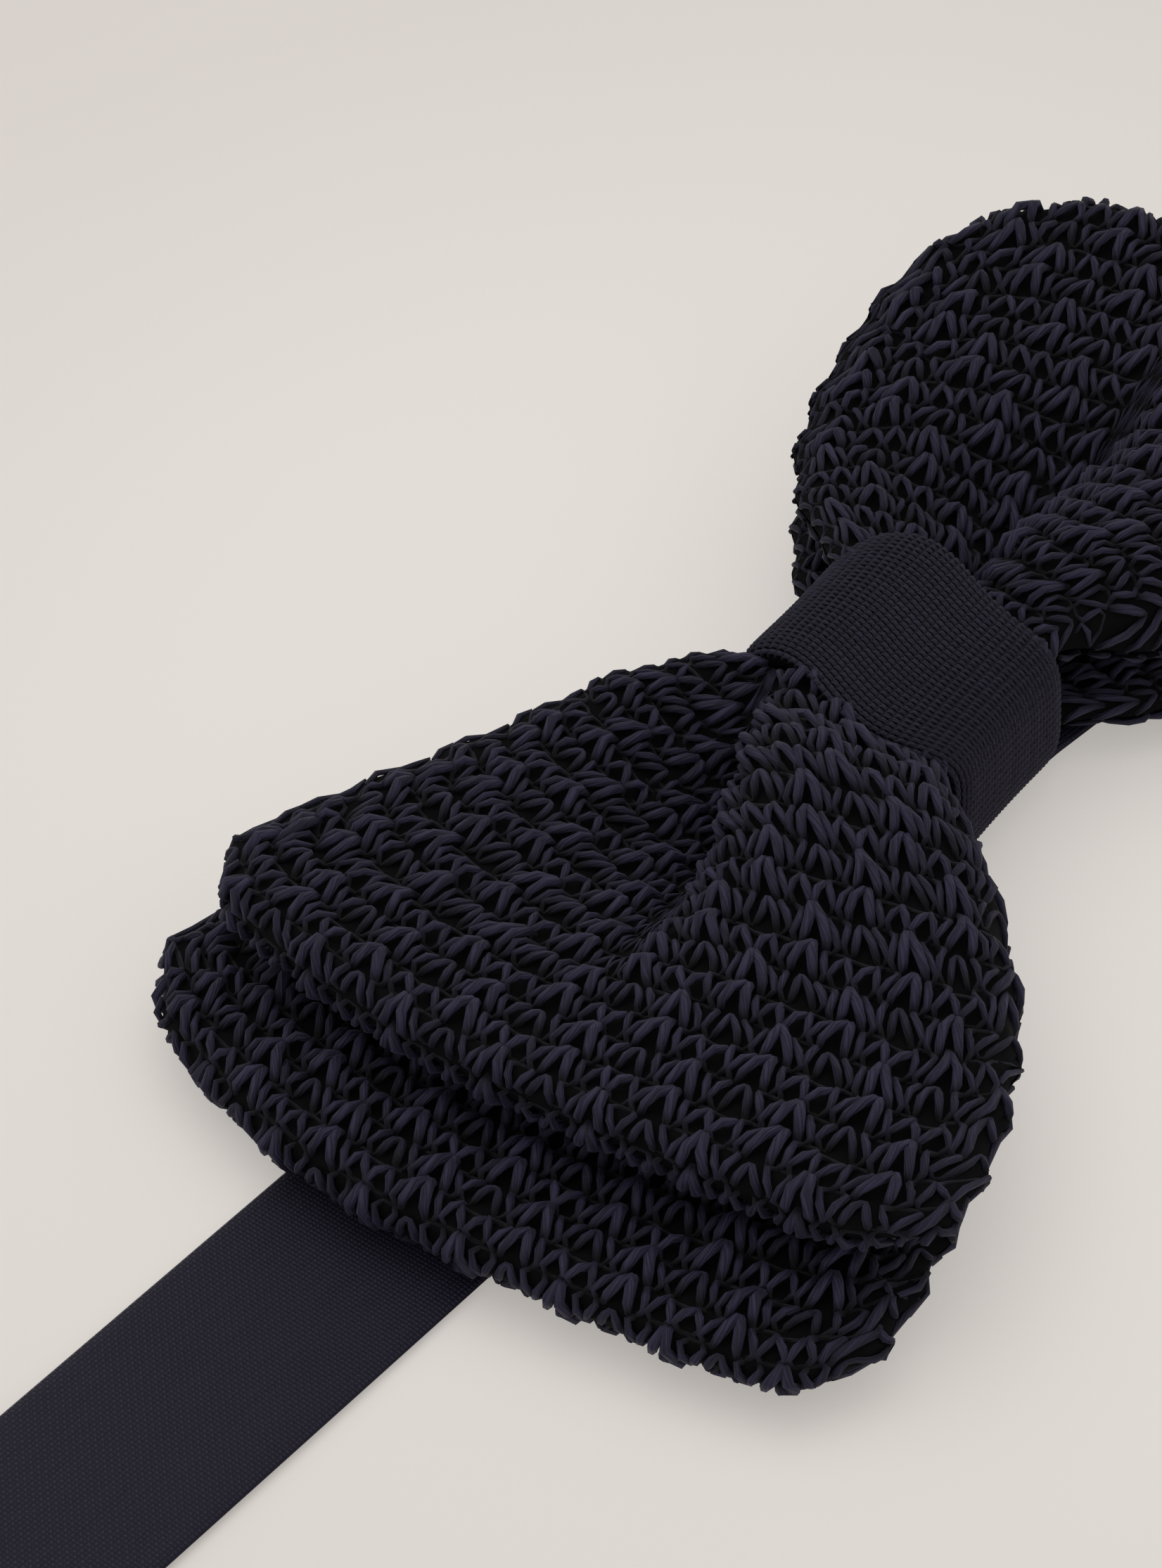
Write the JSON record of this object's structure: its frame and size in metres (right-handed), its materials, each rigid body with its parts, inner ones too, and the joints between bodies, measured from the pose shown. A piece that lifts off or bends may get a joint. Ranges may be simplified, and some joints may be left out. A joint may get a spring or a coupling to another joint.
{
  "type": "knitted bow tie",
  "caption": "Pre-tied bow tie: two knitted loops pinched by a knitted knot, on a satin neckband with sliding adjuster, hook and eye.",
  "frame": {"origin": "on the resting plane, at the middle of the centre knot's back", "axes": "+X along the bow and its neckband towards the hook end, +Y across the band, +Z out of the bow's front"},
  "size_m": [0.4206, 0.0754, 0.016],
  "materials": {
    "knitted_yarn": "chunky dark navy knit, loosely plied polyester yarn, soft and matt",
    "fine_knit": "fine dark navy jersey knit, small even stitches",
    "satin_band": "plain woven dark navy polyester ribbon with a soft sheen",
    "thread": "dark navy polyester sewing thread",
    "metal": "black enamelled steel, worn slightly at the edges"
  },
  "bodies": {
    "bow": {"front_bow": "knitted_yarn", "back_bow": "knitted_yarn", "gather_thread": "thread", "centre_knot": "fine_knit", "knot_seam_stitches": "thread", "band_centre": "satin_band"},
    "left_band": {"left_band": "satin_band", "left_band_tack": "thread"},
    "eye": {"eye": "metal"},
    "right_band": {"right_band": "satin_band", "right_band_run": "satin_band"},
    "adjuster": {"adjuster": "metal", "adjuster_weave": "satin_band", "adjuster_fold": "satin_band", "right_band_upper": "satin_band", "right_band_lower": "satin_band"},
    "hook_end": {"hook_fold": "satin_band"},
    "hook": {"hook": "metal"}
  },
  "joints": [
    {"name": "left_band_bend", "type": "hinge", "parent": "bow", "child": "left_band", "pos_m": [-0.072, 0, 0.0004], "axis": [0, 1, 0], "range_deg": [0, 80]},
    {"name": "eye_swing", "type": "hinge", "parent": "left_band", "child": "eye", "pos_m": [-0.19, 0, 0.00161], "axis": [0, 1, 0], "range_deg": [0, 75]},
    {"name": "right_band_bend", "type": "hinge", "parent": "bow", "child": "right_band", "pos_m": [0.072, 0, 0.0004], "axis": [0, -1, 0], "range_deg": [0, 80]},
    {"name": "adjuster_slide", "type": "slide", "parent": "right_band", "child": "adjuster", "axis": [1, 0, 0], "range_m": [-0.025, 0.035], "deforming": ["right_band_run", "right_band_upper", "right_band_lower"]},
    {"name": "hook_end_slide", "type": "slide", "parent": "adjuster", "child": "hook_end", "axis": [1, 0, 0], "range_m": [-0.0175, 0.0125], "deforming": ["right_band_upper", "right_band_lower"]},
    {"name": "hook_swing", "type": "hinge", "parent": "hook_end", "child": "hook", "pos_m": [0.205, 0, 0.00161], "axis": [0, -1, 0], "range_deg": [0, 75]}
  ],
  "couplings": [
    {"joint": "hook_end_slide", "follows": "adjuster_slide", "ratio": -0.5}
  ]
}
